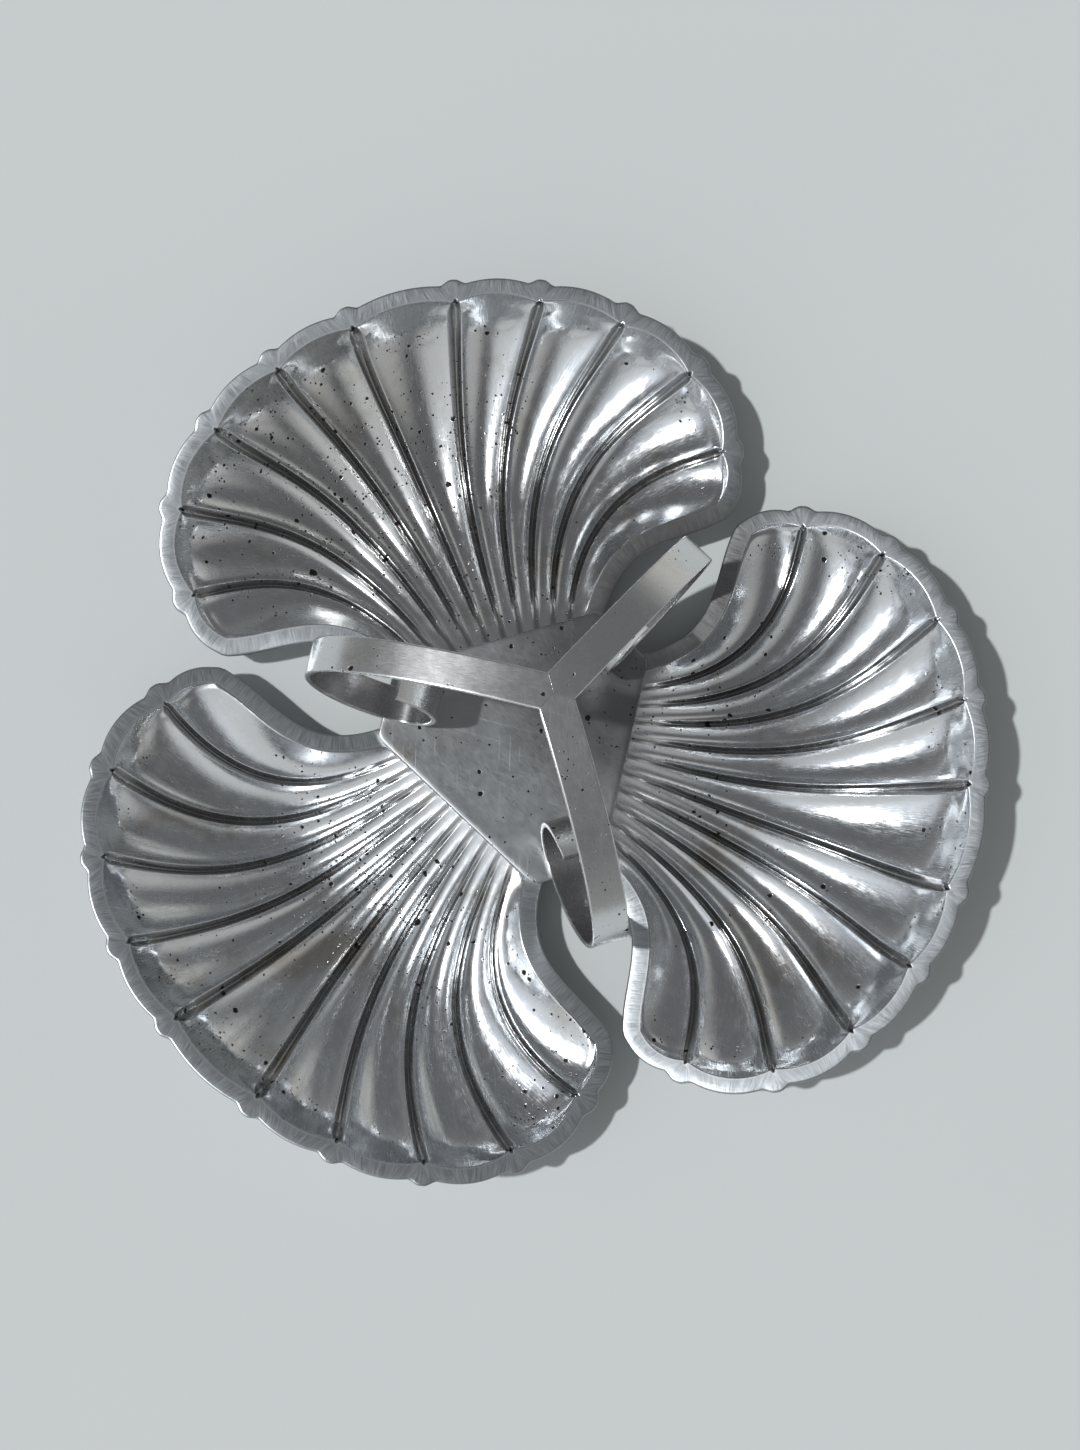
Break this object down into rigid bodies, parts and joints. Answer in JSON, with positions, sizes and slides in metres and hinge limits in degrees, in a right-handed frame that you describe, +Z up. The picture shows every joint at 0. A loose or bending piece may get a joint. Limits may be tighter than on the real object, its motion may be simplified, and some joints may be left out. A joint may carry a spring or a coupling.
{
  "type": "shell serving tray",
  "caption": "Silver serving dish of fluted scallop shells round a flat centre plate, with a handle of scrolled straps.",
  "frame": {"origin": "under the middle of the outline, on the table", "axes": "+Z up; one shell points along -Y, the other two along +X and -X, turned up by a twelfth of a turn"},
  "size_m": [0.2326, 0.2228, 0.079],
  "materials": {
    "shell_silver": "polished silver, tarnished and pitted",
    "plate_silver": "worn silver, scratched",
    "strap_silver": "satin silver"
  },
  "bodies": {
    "root": {"centre_plate": "plate_silver", "handle_strap_back": "strap_silver", "handle_strap_left": "strap_silver", "handle_strap_right": "strap_silver", "shell_dish_front": "shell_silver", "shell_dish_left": "shell_silver", "shell_dish_right": "shell_silver"}
  },
  "joints": []
}
